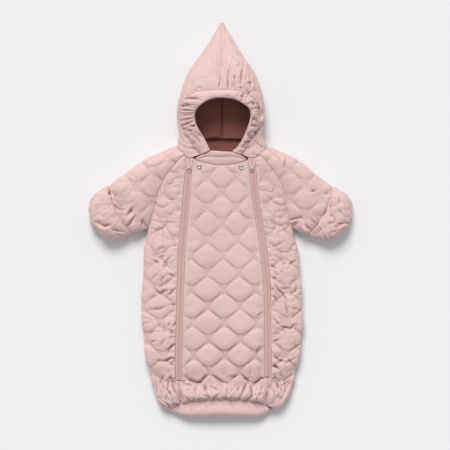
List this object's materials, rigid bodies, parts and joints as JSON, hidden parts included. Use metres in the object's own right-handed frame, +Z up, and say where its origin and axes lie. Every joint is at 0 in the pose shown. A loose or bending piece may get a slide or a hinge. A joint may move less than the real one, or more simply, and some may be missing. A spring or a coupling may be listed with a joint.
{
  "type": "baby bunting bag",
  "caption": "padded, quilted baby bunting bag with a pointed hood, fold-over mitten sleeves, a long zip each side of the front and a gathered foot end",
  "frame": {"origin": "on the surface that it lies on, under the middle of the whole garment's length and width", "axes": "+X to the garment's left hand side as worn, which is the right of the picture, +Y towards the hood's tip, +Z up out of the front"},
  "size_m": [0.5799, 0.8681, 0.0955],
  "materials": {
    "quilted_cloth": "soft matt woven cloth over padding, pale dusty pink",
    "lining_cloth": "soft knitted lining, darker dusty pink",
    "zip_tape": "dense woven tape with a nylon coil, dusty pink",
    "painted_metal": "satin paint in the cloth's colour",
    "steel": "bright plated metal"
  },
  "bodies": {
    "garment": {"back": "quilted_cloth", "collar": "quilted_cloth", "foot_strip": "quilted_cloth", "front_centre": "quilted_cloth", "front_side_left": "quilted_cloth", "front_side_right": "quilted_cloth", "hood_casing": "quilted_cloth", "hood_left": "quilted_cloth", "hood_right": "quilted_cloth", "mitten_left": "quilted_cloth", "mitten_right": "quilted_cloth", "sleeve_left": "quilted_cloth", "sleeve_right": "quilted_cloth", "hood_lining_left": "lining_cloth", "hood_lining_right": "lining_cloth", "zip_left": "zip_tape", "zip_right": "zip_tape", "slider_left": "painted_metal", "slider_right": "painted_metal", "stud_left": "steel", "stud_right": "steel"},
    "pull_left": {"pull_left": "steel"},
    "pull_right": {"pull_right": "steel"}
  },
  "joints": [
    {"name": "pull_left_swing", "type": "hinge", "parent": "garment", "child": "pull_left", "pos_m": [-0.07051, 0.11144, 0.04979], "axis": [-0.961, -0.2657, -0.0766], "range_deg": [0, 165]},
    {"name": "pull_right_swing", "type": "hinge", "parent": "garment", "child": "pull_right", "pos_m": [0.06976, 0.11144, 0.05012], "axis": [-0.967, 0.2441, 0.0724], "range_deg": [0, 165]}
  ]
}
